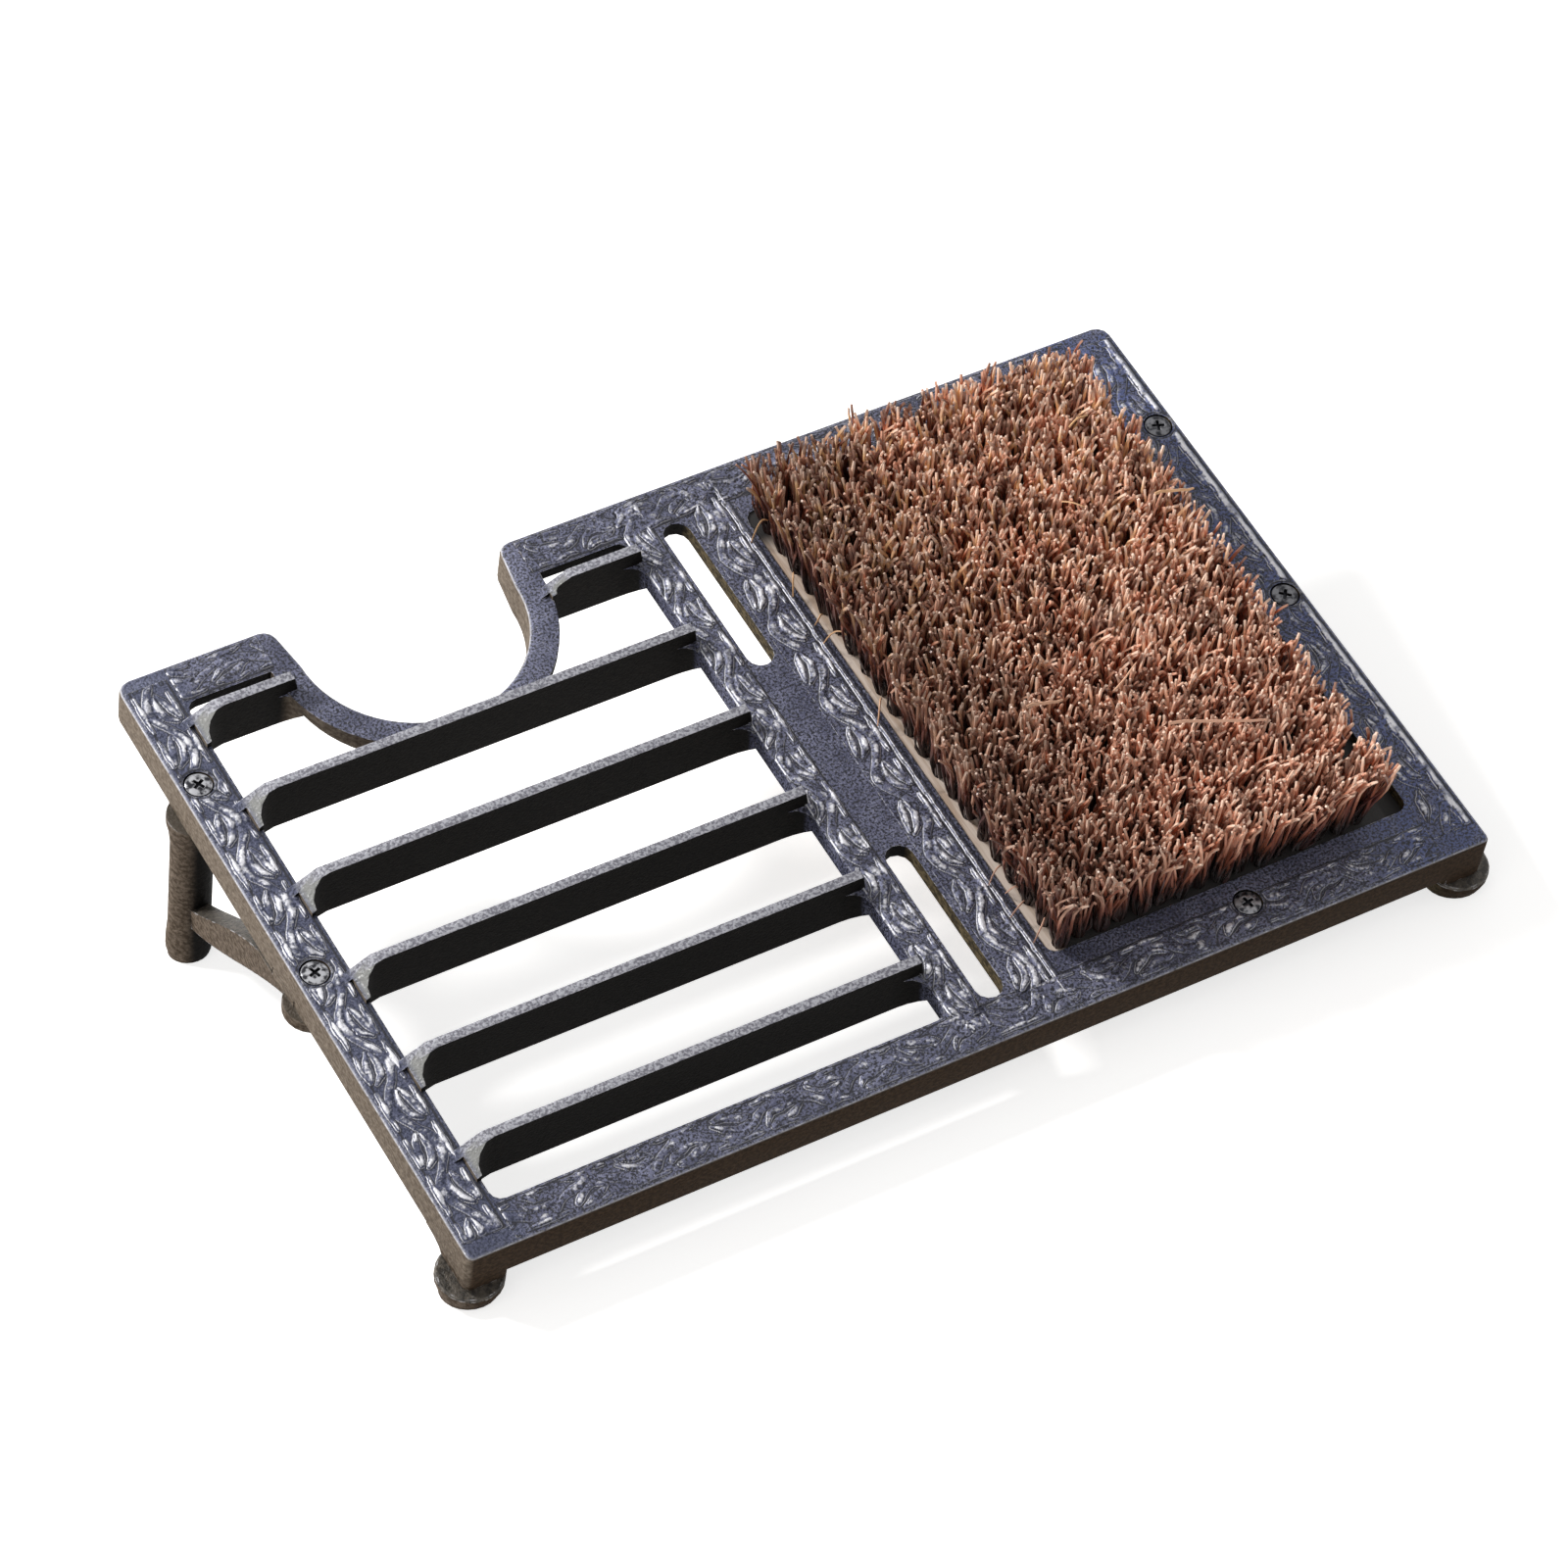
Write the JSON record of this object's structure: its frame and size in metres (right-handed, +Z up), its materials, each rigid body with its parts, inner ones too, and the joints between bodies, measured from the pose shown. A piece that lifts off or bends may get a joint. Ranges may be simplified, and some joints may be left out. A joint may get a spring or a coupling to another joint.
{
  "type": "boot scraper",
  "caption": "Sloping cast-iron boot scraper with scraper blades, a boot-jack notch and a coir brush, on front feet and rear leg brackets.",
  "frame": {"origin": "middle of the bounding box on the floor that the scraper stands on", "axes": "+X to the right along the plate's width, +Y to the rear where the plate is raised, +Z up"},
  "size_m": [0.382, 0.235, 0.1065],
  "materials": {
    "iron": "dark lacquer worn bright on the raised ornament",
    "steel": "blackened",
    "wood": "plain sawn",
    "coir": "stiff natural fibre"
  },
  "bodies": {
    "root": {"scraper_plate": "iron", "leg_bracket_left": "iron", "leg_bracket_right": "iron", "front_foot_left": "iron", "front_foot_right": "iron", "foot_stud_left": "steel", "foot_stud_right": "steel", "leg_screw_rear_left": "steel", "leg_screw_front_left": "steel", "leg_screw_rear_right": "steel", "leg_screw_front_right": "steel", "brush_screw_front": "steel", "brush_washer_front": "steel", "brush_nut_front": "steel", "brush_screw_rear": "steel", "brush_washer_rear": "steel", "brush_nut_rear": "steel", "brush_stock": "wood", "bristles_1": "coir", "bristles_2": "coir", "bristles_3": "coir", "bristles_4": "coir"}
  },
  "joints": []
}
